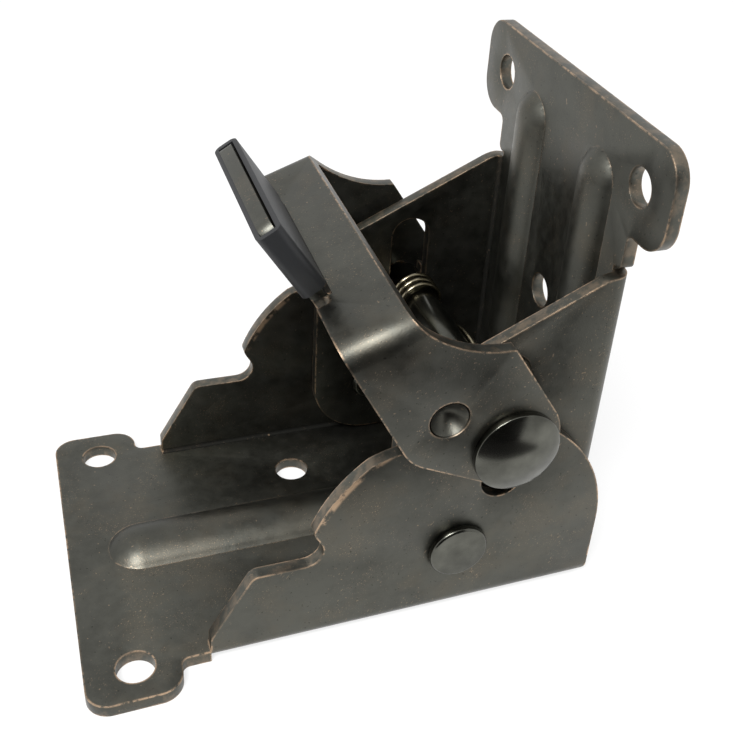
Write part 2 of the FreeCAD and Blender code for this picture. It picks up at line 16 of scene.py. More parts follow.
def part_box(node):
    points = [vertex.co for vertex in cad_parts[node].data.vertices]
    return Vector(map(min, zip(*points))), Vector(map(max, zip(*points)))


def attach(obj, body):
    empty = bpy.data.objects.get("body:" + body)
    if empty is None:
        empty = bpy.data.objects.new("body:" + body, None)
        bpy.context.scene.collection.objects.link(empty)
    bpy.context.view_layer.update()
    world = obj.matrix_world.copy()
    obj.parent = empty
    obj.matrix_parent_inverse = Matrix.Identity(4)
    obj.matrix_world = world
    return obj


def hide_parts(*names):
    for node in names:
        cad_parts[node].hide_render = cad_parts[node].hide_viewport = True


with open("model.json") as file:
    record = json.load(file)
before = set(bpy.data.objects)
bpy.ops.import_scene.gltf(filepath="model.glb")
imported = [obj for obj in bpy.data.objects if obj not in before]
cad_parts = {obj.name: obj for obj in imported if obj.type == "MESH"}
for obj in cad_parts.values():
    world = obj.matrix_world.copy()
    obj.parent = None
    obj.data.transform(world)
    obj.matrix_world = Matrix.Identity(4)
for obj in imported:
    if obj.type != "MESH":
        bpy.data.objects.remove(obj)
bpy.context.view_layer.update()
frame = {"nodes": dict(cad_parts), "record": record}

bl_info = {
    "name": "Folding Leg Bracket",
    "version": (1, 0, 0),
    "blender": (4, 5, 0),
    "location": "3D View > Sidebar > Leg Bracket",
    "description": "Finishes a folding table leg bracket and sets its stage",
    "category": "Object",
}

MM = 0.001

SHEET = 2 * MM                                  # thickness of the folded pieces
CAM_RADIUS = 24 * MM                            # arc of the base's cheeks round the pivot
HEAD_EDGE = 0.12 * MM                           # rounding along the rims of the rivet heads

WELD = 0.002 * MM                               # corners of CAD triangles this close are one
FLAT_TURN = math.radians(0.6)                   # edges that turn less than this are dissolved
SHARP_TURN = math.radians(32)                   # edges that turn more than this are rounded
INNER_TURN = 0.6 * SHARP_TURN                   # and inner edges already from here on
SHADING_TURN = math.radians(35)                 # shading breaks at edges that turn more than this
WIRE_SHADING_TURN = math.radians(50)
SHEARED_DEPTH = 1.7 * SHEET                     # metal behind a face, from which it is a sheared edge
SLEEVE_SLACK = 0.3 * MM                         # how far the sleeved end reaches out of the grip's box

DISH_PLACE = Vector((-4.681, 0, 27.099)) * MM   # middle of the punched pits, from the pivot
DISH_MOUTH = 2.75 * MM                          # radius of a pit's round bottom at its rim
DISH_DEPTH = 1.95 * MM
DISH_SINK = 0.12 * MM                           # how far its rim lies below the arm's face
DISH_RINGS = 8
DISH_SIDES = 40

SPRING_TURNS = 3                                # coils on each side
SPRING_PITCH = 1.6 * MM
SPRING_BEND = 1.0 * MM                          # radius of the bends in the wire
SPRING_WIRE = 0.45 * MM                         # wire radius that the spring's box is measured with
SPRING_SIDES = 16                               # facets round the wire
STEPS_PER_TURN = 36
BEND_STEPS = 6
TAIL_RISE = 1.4 * MM                            # tail's bend above the pin's middle
BRIDGE_DROP = 3.7 * MM                          # run below the pin that joins the coils to the crown
BRIDGE_SIDE = 7.5 * MM                          # where that run turns forward, from the middle
BRIDGE_REACH = 3.7 * MM                         # crown in front of the pin's middle
CROWN_DROP = 1.0 * MM                           # crown's ends below the pin's middle
CROWN_BOW = 1.9 * MM                            # rise of the crown towards the middle
CROWN_SHARES = (0.85, 0.7, 0.55, 0.4, 0.25, 0.1, 0.0)

PHOTO_PIXELS = 734.0
FOCAL_PIXELS = 1057.28
PHOTO_CENTRE = (445.73, 310.36)                 # where the camera's axis meets the photograph
CAMERA_PLACE = Vector((-5.654, -127.941, 127.899)) * MM
CAMERA_BACK = Vector((-0.35143, -0.77040, 0.53196))
CAMERA_ROLL = math.radians(6.167)
FILM_WIDTH = 36.0

FLOOR_REACH = 3.0
FLOOR_SEEN = 0.72                               # share of plain white where the camera sees the floor
FLOOR_MIRRORED = 0.4                            # and where the metal mirrors it
LAMP_PLACE = (-0.20, -0.28, 0.52)
LAMP_TARGET = (0.03, 0, 0.03)
LAMP_WIDTH = 0.26
LAMP_POWER = 4.5
SKY_LIGHT = 0.9                                 # what the sky gives to matt surfaces


def srgb(code):
    """Linear colour with alpha from a hex code such as 4a4a44."""
    channels = [int(code[i:i + 2], 16) / 255 for i in (0, 2, 4)]
    linear = [c / 12.92 if c <= 0.04045 else ((c + 0.055) / 1.055) ** 2.4 for c in channels]
    return (*linear, 1.0)


class BracketSizes(bpy.types.PropertyGroup):
    """Sizes that the finish of the bracket is made with."""
    sheet_edge: bpy.props.FloatProperty(
        name="Sheet edge", description="Rounding along the edges of the punched sheet",
        default=0.38 * MM, min=0.0, unit="LENGTH", precision=5)
    wear_reach: bpy.props.FloatProperty(
        name="Wear reach", description="How far the rubbed brown reaches in from an edge",
        default=0.45 * MM, min=0.0, unit="LENGTH", precision=5)
    grip_edge: bpy.props.FloatProperty(
        name="Grip edge", description="Rounding along the edges of the thumb grip",
        default=0.25 * MM, min=0.0, unit="LENGTH", precision=5)
    wire_radius: bpy.props.FloatProperty(
        name="Wire radius", description="Radius of the spring wire",
        default=0.42 * MM, min=0.0001, unit="LENGTH", precision=5)
    coil_radius: bpy.props.FloatProperty(
        name="Coil radius", description="Radius of the spring coils, to the middle of the wire",
        default=3.65 * MM, min=0.001, unit="LENGTH", precision=5)


class BracketColours(bpy.types.PropertyGroup):
    """Colours of the bracket and of its stage."""
    steel: bpy.props.FloatVectorProperty(
        name="Blackened steel", description="Oxidised sheet steel", subtype="COLOR", size=4,
        min=0.0, max=1.0, default=srgb("585852"))
    steel_dark: bpy.props.FloatVectorProperty(
        name="Dark steel", description="Darker patches of the oxide", subtype="COLOR", size=4,
        min=0.0, max=1.0, default=srgb("4a4a45"))
    worn: bpy.props.FloatVectorProperty(
        name="Rubbed edge", description="Copper brown where the oxide is rubbed off", subtype="COLOR",
        size=4, min=0.0, max=1.0, default=srgb("c6a98c"))
    pins: bpy.props.FloatVectorProperty(
        name="Rivet steel", description="Smooth blackened rivet heads", subtype="COLOR", size=4,
        min=0.0, max=1.0, default=srgb("54544e"))
    wire: bpy.props.FloatVectorProperty(
        name="Spring wire", description="Bright drawn wire with a faint brass cast", subtype="COLOR",
        size=4, min=0.0, max=1.0, default=srgb("958d78"))
    grip: bpy.props.FloatVectorProperty(
        name="Thumb grip", description="Bluish black moulded grip", subtype="COLOR", size=4,
        min=0.0, max=1.0, default=srgb("17181a"))
    stain: bpy.props.FloatVectorProperty(
        name="Brown cast", description="Faint brown that handling leaves on the oxide", subtype="COLOR",
        size=4, min=0.0, max=1.0, default=srgb("6a5f4e"))
    # Painted shade: this colour darkens the inner corners as well as the oxide's small pits.
    pits_and_corner_shade: bpy.props.FloatVectorProperty(
        name="Pits and corner shade", description="Dark of the oxide's pits, and painted shade in inner corners", subtype="COLOR", size=4,
        min=0.0, max=1.0, default=srgb("1e1e1c"))
    floor: bpy.props.FloatVectorProperty(
        name="Floor", description="Pale studio floor", subtype="COLOR", size=4,
        min=0.0, max=1.0, default=srgb("f4f4f4"))
    # Painted shade for reflections: a dark sheet that only gloss sees, in place of the shaded side of the
    # room.
    card: bpy.props.FloatVectorProperty(
        name="Dark card", description="Dark sheet that stands for the unlit side of the room, seen only in reflections", subtype="COLOR",
        size=4, min=0.0, max=1.0, default=srgb("141414"))


def sizes():
    return bpy.context.scene.bracket_sizes


def colours():
    return bpy.context.scene.bracket_colours


SMOOTH = {"interpolation_type": "SMOOTHSTEP"}
TIMES = {"operation": "MULTIPLY"}
TIMES_PLUS = {"operation": "MULTIPLY_ADD"}
PLUS = {"operation": "ADD"}
MINUS = {"operation": "SUBTRACT", "use_clamp": True}
LARGER = {"operation": "MAXIMUM"}
# A blend has its colours at inputs 6 and 7 and its result at output 2.
BLEND = {"data_type": "RGBA"}


def add_node(tree, kind, settings=None, **inputs):
    """Add one node, set its options, and fill or link its inputs by name or number.

    A node given as an input stands for its first output.
    """
    node = tree.nodes.new(kind)
    for name, value in (settings or {}).items():
        setattr(node, name, value)
    for name, value in inputs.items():
        key = int(name[1:]) if name[0] == "i" and name[1:].isdigit() else name.replace("_", " ")
        socket = node.inputs[key]
        if isinstance(value, bpy.types.Node):
            value = value.outputs[0]
        if isinstance(value, bpy.types.NodeSocket):
            tree.links.new(value, socket)
        else:
            socket.default_value = value
    return node


def new_material(name):
    """Empty node material with its Principled shader already on the output."""
    material = bpy.data.materials.new(name)
    material.use_nodes = True
    tree = material.node_tree
    tree.nodes.clear()
    shader = add_node(tree, "ShaderNodeBsdfPrincipled")
    add_node(tree, "ShaderNodeOutputMaterial", Surface=shader)
    return material, tree, shader


def rubbed_arc(tree, place, arc):
    """White along the inner edge of an arc's upper left part, in the side view."""
    split = add_node(tree, "ShaderNodeSeparateXYZ", Vector=place)
    flat = add_node(tree, "ShaderNodeCombineXYZ", X=split.outputs["X"], Z=split.outputs["Z"])
    reach = add_node(tree, "ShaderNodeVectorMath", {"operation": "DISTANCE"}, i0=flat,
                     i1=(arc[0], 0.0, arc[1])).outputs["Value"]
    mask = 1.0
    for value, black, white in (
            (reach, arc[2] - 1.1 * MM, arc[2] - 0.5 * MM),
            (reach, arc[2] + 0.5 * MM, arc[2] + 0.2 * MM),
            (split.outputs["Z"], arc[1] + 8 * MM, arc[1] + 11 * MM),
            (split.outputs["X"], arc[0] + 2 * MM, arc[0] - 6 * MM)):
        side = add_node(tree, "ShaderNodeMapRange", SMOOTH, Value=value, From_Min=black, From_Max=white)
        mask = add_node(tree, "ShaderNodeMath", TIMES, i0=side, i1=mask)
    return mask


def scratches(tree, place, turn, seed, strength):
    """Thin streaks that run along one direction and come in scattered groups."""
    turned = add_node(tree, "ShaderNodeMapping", Vector=place, Rotation=turn)
    stretched = add_node(tree, "ShaderNodeMapping", Vector=turned, Location=(seed, 0, 0),
                         Scale=(0.24 / MM, 7 / MM, 7 / MM))
    lines = add_node(tree, "ShaderNodeTexNoise", Vector=stretched, Scale=1.0, Detail=0.0, Roughness=0.6)
    streak = add_node(tree, "ShaderNodeMapRange", SMOOTH, Value=lines, From_Min=0.74, From_Max=0.79,
                      To_Max=strength)
    spread = add_node(tree, "ShaderNodeTexNoise", Vector=place, Scale=(0.16 + 0.009 * seed) / MM,
                      Detail=1.0, Roughness=0.6)
    group = add_node(tree, "ShaderNodeMapRange", SMOOTH, Value=spread, From_Min=0.50, From_Max=0.60)
    return add_node(tree, "ShaderNodeMath", TIMES, i0=streak, i1=group)


def rubbed_edges(tree, place, reach):
    """White flecks of about 1 mm along a piece's edges, in stretches of about 8 mm."""
    bevel = add_node(tree, "ShaderNodeBevel", {"samples": 6}, Radius=reach)
    geometry = add_node(tree, "ShaderNodeNewGeometry")
    across = add_node(tree, "ShaderNodeVectorMath", {"operation": "DOT_PRODUCT"}, i0=bevel,
                      i1=geometry.outputs["True Normal"]).outputs["Value"]
    edge = add_node(tree, "ShaderNodeMapRange", SMOOTH, Value=across, From_Min=0.985, From_Max=0.86)
    wander = add_node(tree, "ShaderNodeTexNoise", Vector=place, Scale=0.13 / MM, Detail=2.0, Roughness=0.6)
    stretch = add_node(tree, "ShaderNodeMapRange", SMOOTH, Value=wander, From_Min=0.36, From_Max=0.60,
                       To_Min=0.2, To_Max=0.95)
    speckle = add_node(tree, "ShaderNodeTexNoise", Vector=place, Scale=1.1 / MM, Detail=4.0, Roughness=0.6)
    flecks = add_node(tree, "ShaderNodeMapRange", SMOOTH, Value=speckle, From_Min=0.36, From_Max=0.54)
    worn = add_node(tree, "ShaderNodeMath", TIMES, i0=stretch, i1=flecks)
    return add_node(tree, "ShaderNodeMath", TIMES, i0=edge, i1=worn)


def blackened_steel(name, arc=None):
    """Cold rolled steel with a black oxide: dark olive metal, satin, rubbed brown at its edges.

    The oxide is a thin crystalline coat, so it looks faintly grainy and never
    mirror bright, and its tone drifts a little over a few centimetres.  An arc,
    given as (x, z, radius), is rubbed bright by what slides along it.
    """
    material, tree, shader = new_material(name)
    place = add_node(tree, "ShaderNodeTexCoord").outputs["Object"]
    marks = {}
    for mark in ("hollow", "sheared", "sleeved"):
        marks[mark] = add_node(tree, "ShaderNodeAttribute", {"attribute_name": mark}).outputs["Fac"]

    # A noise has its scale in clouds to the millimetre: broad drift over 20 mm, and mottling of 2 mm.
    cloud = add_node(tree, "ShaderNodeTexNoise", Vector=place, Scale=0.05 / MM, Detail=3.0, Roughness=0.6)
    mottle = add_node(tree, "ShaderNodeTexNoise", Vector=place, Scale=0.52 / MM, Detail=4.0, Roughness=0.6)
    both = add_node(tree, "ShaderNodeMath", TIMES_PLUS, i0=mottle, i1=0.6, i2=cloud)
    drift = add_node(tree, "ShaderNodeMapRange", SMOOTH, Value=both, From_Min=0.55, From_Max=1.05)
    tone = add_node(tree, "ShaderNodeMix", BLEND, i0=drift, i6=colours().steel_dark,
                    i7=colours().steel).outputs[2]

    # Handling leaves a faint brown cast in patches of about 1 cm, and the oxide has pits of 0.5 mm.
    for scale, detail, low, high, strength, colour in (
            (0.11 / MM, 4.0, 0.46, 0.66, 0.16, colours().stain),
            (2.1 / MM, 1.0, 0.70, 0.78, 0.50, colours().pits_and_corner_shade)):
        patches = add_node(tree, "ShaderNodeTexNoise", Vector=place, Scale=scale, Detail=detail,
                           Roughness=0.6)
        share = add_node(tree, "ShaderNodeMapRange", SMOOTH, Value=patches, From_Min=low, From_Max=high,
                         To_Max=strength)
        tone = add_node(tree, "ShaderNodeMix", BLEND, i0=share, i6=tone, i7=colour).outputs[2]

    # Painted shade: the faces of inner corners are darkened towards the pit colour, and further down made
    # rougher, so that they show no highlight.
    corner_shade = add_node(tree, "ShaderNodeMath", TIMES, i0=marks["hollow"], i1=0.85)
    tone = add_node(tree, "ShaderNodeMix", BLEND, i0=corner_shade, i6=tone, i7=colours().pits_and_corner_shade).outputs[2]

    # Sheared faces are a little barer than the rest, in patches of about 2 mm.
    tears = add_node(tree, "ShaderNodeTexNoise", Vector=place, Scale=0.5 / MM, Detail=4.0, Roughness=0.6)
    torn = add_node(tree, "ShaderNodeMapRange", SMOOTH, Value=tears, From_Min=0.42, From_Max=0.66,
                    To_Max=0.16)
    bare = add_node(tree, "ShaderNodeMath", TIMES, i0=torn, i1=marks["sheared"])
    tone = add_node(tree, "ShaderNodeMix", BLEND, i0=bare, i6=tone, i7=colours().worn).outputs[2]

    # Handling also leaves scratches about 0.1 mm wide and 4 mm long, and specks of 0.7 mm.
    dots = add_node(tree, "ShaderNodeTexNoise", Vector=place, Scale=1.5 / MM, Detail=1.0, Roughness=0.6)
    marked = add_node(tree, "ShaderNodeMapRange", SMOOTH, Value=dots, From_Min=0.735, From_Max=0.77,
                      To_Max=0.25)
    for turn, seed in (((0.3, 0.75, 0.5), 0.0), ((0.2, -0.35, -0.9), 7.0)):
        lines = scratches(tree, place, turn, seed, 0.25)
        marked = add_node(tree, "ShaderNodeMath", PLUS, i0=marked, i1=lines)
    tone = add_node(tree, "ShaderNodeMix", BLEND, i0=marked, i6=tone, i7=colours().worn).outputs[2]

    # Only what stands out is rubbed: the foot of a rib, an inner corner and a sleeved end stay black.
    rubbed = rubbed_edges(tree, place, sizes().wear_reach)
    if arc:
        slid = add_node(tree, "ShaderNodeMapRange", SMOOTH, Value=mottle, From_Min=0.42, From_Max=0.56,
                        To_Max=0.9)
        face = add_node(tree, "ShaderNodeMath", MINUS, i0=1.0, i1=marks["sheared"])
        for mask in (rubbed_arc(tree, place, arc), face):
            slid = add_node(tree, "ShaderNodeMath", TIMES, i0=slid, i1=mask)
        rubbed = add_node(tree, "ShaderNodeMath", LARGER, i0=rubbed, i1=slid)
    shape = add_node(tree, "ShaderNodeNewGeometry")
    raised = add_node(tree, "ShaderNodeMapRange", SMOOTH, Value=shape.outputs["Pointiness"],
                      From_Min=0.488, From_Max=0.501)
    open_to_touch = add_node(tree, "ShaderNodeMath", MINUS, i0=raised, i1=marks["sleeved"])
    rubbed = add_node(tree, "ShaderNodeMath", TIMES, i0=rubbed, i1=open_to_touch)
    tone = add_node(tree, "ShaderNodeMix", BLEND, i0=rubbed, i6=tone, i7=colours().worn).outputs[2]
    tree.links.new(tone, shader.inputs["Base Color"])

    shader.inputs["Metallic"].default_value = 1.0
    satin = add_node(tree, "ShaderNodeMapRange", Value=mottle, From_Min=0.3, From_Max=0.7, To_Min=0.36,
                     To_Max=0.46)
    rough = add_node(tree, "ShaderNodeMath", TIMES_PLUS, i0=marks["hollow"], i1=0.4, i2=satin)
    tree.links.new(rough.outputs[0], shader.inputs["Roughness"])
    # Oxide grain is about 0.25 mm here, coarser than the real one, so that it shows.
    grain = add_node(tree, "ShaderNodeTexNoise", Vector=place, Scale=3.8 / MM, Detail=2.0, Roughness=0.6)
    bump = add_node(tree, "ShaderNodeBump", Strength=0.30, Distance=0.05 * MM, Height=grain)
    tree.links.new(bump.outputs["Normal"], shader.inputs["Normal"])
    return material


def drifting_tone(tree, place, colour, scale, detail, span, levels):
    """A colour that gets darker and lighter in soft clouds, between two levels of its brightness."""
    cloud = add_node(tree, "ShaderNodeTexNoise", Vector=place, Scale=scale, Detail=detail)
    level = add_node(tree, "ShaderNodeMapRange", Value=cloud, From_Min=span[0], From_Max=span[1],
                     To_Min=levels[0], To_Max=levels[1])
    tone = add_node(tree, "ShaderNodeHueSaturation", Color=colour, Value=level)
    return tone.outputs["Color"]


def rivet_steel():
    """Cold headed steel rivets, blackened with the rest: smoother than the sheet, a little cloudy."""
    material, tree, shader = new_material("blackened_rivet_steel")
    place = add_node(tree, "ShaderNodeTexCoord").outputs["Object"]
    # Clouds of about 4 mm, and a grain of 0.3 mm, coarser than the real one, so that it shows.
    tone = drifting_tone(tree, place, colours().pins, 0.26 / MM, 3.0, (0.3, 0.7), (0.7, 1.35))
    tree.links.new(tone, shader.inputs["Base Color"])
    shader.inputs["Metallic"].default_value = 1.0
    shader.inputs["Roughness"].default_value = 0.21
    grain = add_node(tree, "ShaderNodeTexNoise", Vector=place, Scale=3 / MM, Detail=2.0)
    bump = add_node(tree, "ShaderNodeBump", Strength=0.08, Distance=0.03 * MM, Height=grain)
    tree.links.new(bump.outputs["Normal"], shader.inputs["Normal"])
    return material


def spring_wire():
    """Drawn spring wire: bright and smooth, with a faint brass cast that drifts along it."""
    material, tree, shader = new_material("drawn_spring_wire")
    place = add_node(tree, "ShaderNodeTexCoord").outputs["Object"]
    # Clouds of about 1 mm.
    tone = drifting_tone(tree, place, colours().wire, 0.9 / MM, 2.0, (0.0, 1.0), (0.6, 1.15))
    tree.links.new(tone, shader.inputs["Base Color"])
    shader.inputs["Metallic"].default_value = 1.0
    shader.inputs["Roughness"].default_value = 0.22
    return material


def grip_plastic():
    """Soft PVC sleeve: bluish black, half matt, with a faint moulded pebble."""
    material, tree, shader = new_material("dipped_pvc_grip")
    place = add_node(tree, "ShaderNodeTexCoord").outputs["Object"]
    # Clouds of about 6 mm, and a pebble of 0.5 mm.
    tone = drifting_tone(tree, place, colours().grip, 0.18 / MM, 3.0, (0.0, 1.0), (0.85, 1.15))
    tree.links.new(tone, shader.inputs["Base Color"])
    shader.inputs["Roughness"].default_value = 0.5
    pebble = add_node(tree, "ShaderNodeTexNoise", Vector=place, Scale=2.2 / MM, Detail=2.0)
    bump = add_node(tree, "ShaderNodeBump", Strength=0.12, Distance=0.05 * MM, Height=pebble)
    tree.links.new(bump.outputs["Normal"], shader.inputs["Normal"])
    return material


def link_object(name, mesh):
    thing = bpy.data.objects.new(name, mesh)
    bpy.context.scene.collection.objects.link(thing)
    return thing


def softened_copy(node_name, piece_name, width, material):
    """Copy of a CAD node with its loose triangles merged and its sharp edges rounded."""
    mesh = frame["nodes"][node_name].data.copy()
    mesh.name = piece_name
    work = bmesh.new()
    work.from_mesh(mesh)
    bmesh.ops.remove_doubles(work, verts=work.verts, dist=WELD)
    bmesh.ops.dissolve_limit(work, angle_limit=FLAT_TURN, verts=work.verts, edges=work.edges)
    sharp = [e for e in work.edges if len(e.link_faces) == 2
             and (e.calc_face_angle(0.0) > SHARP_TURN or e.calc_face_angle_signed(0.0) < -INNER_TURN)]
    if width > 0:
        bmesh.ops.bevel(work, geom=sharp, offset=width, offset_type="OFFSET", segments=2, profile=0.5,
                        affect="EDGES", clamp_overlap=True)
    bmesh.ops.triangulate(work, faces=[f for f in work.faces if len(f.verts) > 4])
    work.to_mesh(mesh)
    work.free()
    mesh.materials.clear()
    mesh.materials.append(material)
    for face in mesh.polygons:
        face.use_smooth = True
        face.material_index = 0
    mesh.set_sharp_from_angle(angle=SHADING_TURN)
    return link_object(piece_name, mesh)


def mark_sheared(mesh):
    """Mark the faces that have more metal behind them than the sheet is thick: its sheared edges."""
    work = bmesh.new()
    work.from_mesh(mesh)
    tree = BVHTree.FromBMesh(work)
    work.free()
    marks = mesh.attributes.new("sheared", "FLOAT", "FACE")
    skin = 0.02 * MM
    reach = 100 * MM
    for face in mesh.polygons:
        depth = tree.ray_cast(face.center - face.normal * skin, -face.normal, reach)[3]
        marks.data[face.index].value = 1.0 if depth and depth > SHEARED_DEPTH else 0.0


def mark_sleeved(mesh, low, high):
    """Mark the faces inside the grip, whose oxide nothing rubs or shears bare."""
    marks = mesh.attributes.new("sleeved", "FLOAT", "FACE")
    for face in mesh.polygons:
        if all(low[i] - SLEEVE_SLACK < face.center[i] < high[i] + SLEEVE_SLACK for i in range(3)):
            marks.data[face.index].value = 1.0
            mesh.attributes["sheared"].data[face.index].value = 0.0


def mark_hollow(mesh):
    """Mark the narrow faces that make up inner corners, which the steel darkens with painted shade: they
    bend towards each other along their length.
    """
    work = bmesh.new()
    work.from_mesh(mesh)
    marks = mesh.attributes.new("hollow", "FLOAT", "FACE")
    bend = math.radians(3)
    for face in work.faces:
        rim = sum(e.calc_length() for e in face.edges)
        sides = [(e.calc_face_angle_signed(0.0), e.calc_length() / rim)
                 for e in face.edges if len(e.link_faces) == 2]
        inward = sum(share for turn, share in sides if turn < -bend)
        outward = sum(share for turn, share in sides if turn > bend)
        narrow = face.calc_area() / rim < 0.4 * MM
        drawn_out = max(e.calc_length() for e in face.edges) > 3 * MM
        inner_corner = narrow and drawn_out and inward > 0.35 and outward < 0.2
        marks.data[face.index].value = 1.0 if inner_corner else 0.0
    work.free()


def body_of(node_name):
    """Name of the body that carries a CAD node."""
    for body, nodes in frame["record"]["behaviour"]["bodies"].items():
        if node_name in nodes:
            return body
    raise RuntimeError("no body carries " + node_name)


def dress(node_name, piece_name, width, material):
    """Stand a softened copy in for a CAD node."""
    piece = softened_copy(node_name, piece_name, width, material)
    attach(piece, body_of(node_name))
    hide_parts(node_name)
    return piece


class BRACKET_OT_sheets(bpy.types.Operator):
    """Finish the base channel, the leg channel and the lock lever in blackened sheet steel"""
    bl_idname = "bracket.sheets"
    bl_label = "Sheet steel pieces"

    def execute(self, context):
        low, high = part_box("pivot_rivet_left")
        pivot = Vector(((low.x + high.x) / 2, 0, (low.z + high.z) / 2))
        plain = blackened_steel("blackened_sheet_steel")
        slid_on = blackened_steel("blackened_base_steel", (pivot.x, pivot.z, CAM_RADIUS))
        for node_name, steel in (("base_bracket", slid_on), ("leg_bracket", plain), ("lock_lever", plain)):
            piece = dress(node_name, node_name + "_sheet", sizes().sheet_edge, steel)
            mark_sheared(piece.data)
            mark_hollow(piece.data)
            if node_name == "lock_lever":
                mark_sleeved(piece.data, *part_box("lever_grip"))
        arm_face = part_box("lock_lever")[1].y
        for side in (-1, 1):
            punched_dish(side, pivot + DISH_PLACE, arm_face - DISH_SINK, plain)
        return {"FINISHED"}


def punched_dish(side, centre, face_y, material):
    """Round bottom of the pit that the punch leaves in an arm."""
    verts = [(centre.x, side * (face_y - DISH_DEPTH), centre.z)]
    for i in range(1, DISH_RINGS + 1):
        share = i / DISH_RINGS
        reach = DISH_MOUTH * share
        level = DISH_DEPTH * (1 - share ** 2)
        for k in range(DISH_SIDES):
            turn = 2 * math.pi * k / DISH_SIDES
            verts.append((centre.x + reach * math.cos(turn), side * (face_y - level),
                          centre.z + reach * math.sin(turn)))
    faces = [(0, 1 + k, 1 + (k + 1) % DISH_SIDES) for k in range(DISH_SIDES)]
    for i in range(DISH_RINGS - 1):
        low = 1 + i * DISH_SIDES
        for k in range(DISH_SIDES):
            on = (k + 1) % DISH_SIDES
            faces.append((low + k, low + DISH_SIDES + k, low + DISH_SIDES + on, low + on))
    if side > 0:
        faces = [tuple(reversed(f)) for f in faces]
    mesh = bpy.data.meshes.new("punched_dish")
    mesh.from_pydata(verts, [], faces)
    mesh.materials.append(material)
    for face in mesh.polygons:
        face.use_smooth = True
    dish = link_object("punched_dish_left" if side > 0 else "punched_dish_right", mesh)
    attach(dish, body_of("lock_lever"))


class BRACKET_OT_grip(bpy.types.Operator):
    """Finish the thumb grip"""
    bl_idname = "bracket.grip"
    bl_label = "Thumb grip"

    def execute(self, context):
        dress("lever_grip", "thumb_grip", sizes().grip_edge, grip_plastic())
        return {"FINISHED"}


class BRACKET_OT_pins(bpy.types.Operator):
    """Finish the two pivot rivets and the lock pin"""
    bl_idname = "bracket.pins"
    bl_label = "Rivet pins"

    def execute(self, context):
        steel = rivet_steel()
        for node_name in ("pivot_rivet_left", "pivot_rivet_right", "lock_pin"):
            dress(node_name, node_name + "_finish", HEAD_EDGE, steel)
        return {"FINISHED"}


def arc_points(corner, before, after):
    """Points of the bend in the wire at a corner between two straight runs."""
    back = (before - corner).normalized()
    on = (after - corner).normalized()
    half = back.angle(on) / 2
    reach = SPRING_BEND / math.tan(half)
    start = corner + back * reach
    centre = corner + (back + on).normalized() * (SPRING_BEND / math.sin(half))
    axis = back.cross(on).normalized()
    sweep = math.pi - 2 * half
    return [centre + Matrix.Rotation(-sweep * i / BEND_STEPS, 3, axis) @ (start - centre)
            for i in range(BEND_STEPS + 1)]


def spring_path():
    """Centre line of the double torsion spring, from one tail's end to the other."""
    low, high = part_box("lock_spring")
    pin_low, pin_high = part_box("lock_pin")
    pin_x = (pin_low.x + pin_high.x) / 2
    pin_z = (pin_low.z + pin_high.z) / 2
    coil = sizes().coil_radius
    outer_y = high.y - SPRING_WIRE
    inner_y = outer_y - SPRING_TURNS * SPRING_PITCH
    left = pin_x - coil
    corner = Vector((left, outer_y, pin_z + TAIL_RISE))
    tail_end = Vector((low.x + 0.6 * SPRING_WIRE, outer_y, high.z - 0.9 * SPRING_WIRE))
    start = Vector((left, outer_y, pin_z))
    half = [tail_end] + arc_points(corner, tail_end, start)
    steps = SPRING_TURNS * STEPS_PER_TURN
    for i in range(steps + 1):
        turns_made = i / STEPS_PER_TURN
        angle = math.pi + 2 * math.pi * turns_made
        half.append(Vector((pin_x + coil * math.cos(angle), outer_y - SPRING_PITCH * turns_made,
                            pin_z + coil * math.sin(angle))))
    run_z = pin_z - BRIDGE_DROP
    foot = Vector((left, inner_y, run_z))
    inner = Vector((left, BRIDGE_SIDE, run_z))
    hook = Vector((pin_x + BRIDGE_REACH, BRIDGE_SIDE, run_z - SPRING_WIRE))
    crown = Vector((hook.x, BRIDGE_SIDE, pin_z - CROWN_DROP))
    half += arc_points(foot, half[-1], inner)
    half += arc_points(inner, foot, hook)
    half += arc_points(hook, inner, crown)
    half += arc_points(crown, hook, Vector((crown.x, 0, crown.z)))
    for share in CROWN_SHARES:
        half.append(Vector((crown.x, share * (BRIDGE_SIDE - SPRING_BEND),
                            crown.z + CROWN_BOW * (1 - share ** 2))))
    other = [Vector((p.x, -p.y, p.z)) for p in reversed(half[:-1])]
    return half + other


def wire_tree(material):
    """Geometry nodes that sweep a round wire along a line of edges."""
    tree = bpy.data.node_groups.new("round_wire", "GeometryNodeTree")
    tree.interface.new_socket("Geometry", in_out="INPUT", socket_type="NodeSocketGeometry")
    tree.interface.new_socket("Wire radius", in_out="INPUT", socket_type="NodeSocketFloat")
    tree.interface.new_socket("Sides", in_out="INPUT", socket_type="NodeSocketInt")
    tree.interface.new_socket("Geometry", in_out="OUTPUT", socket_type="NodeSocketGeometry")
    entry = add_node(tree, "NodeGroupInput")
    line = add_node(tree, "GeometryNodeMeshToCurve", Mesh=entry)
    ring = add_node(tree, "GeometryNodeCurvePrimitiveCircle", Resolution=entry.outputs["Sides"],
                    Radius=entry.outputs["Wire radius"])
    tube = add_node(tree, "GeometryNodeCurveToMesh", Curve=line, Profile_Curve=ring, Fill_Caps=True)
    whole = add_node(tree, "GeometryNodeRealizeInstances", Geometry=tube)
    finish = add_node(tree, "GeometryNodeSetMaterial", Geometry=whole, Material=material)
    add_node(tree, "NodeGroupOutput", Geometry=finish)
    return tree


def socket_id(tree, name):
    """Identifier of a node tree's input, from its name."""
    for item in tree.interface.items_tree:
        if item.item_type == "SOCKET" and item.in_out == "INPUT" and item.name == name:
            return item.identifier
    raise RuntimeError("no input " + name)


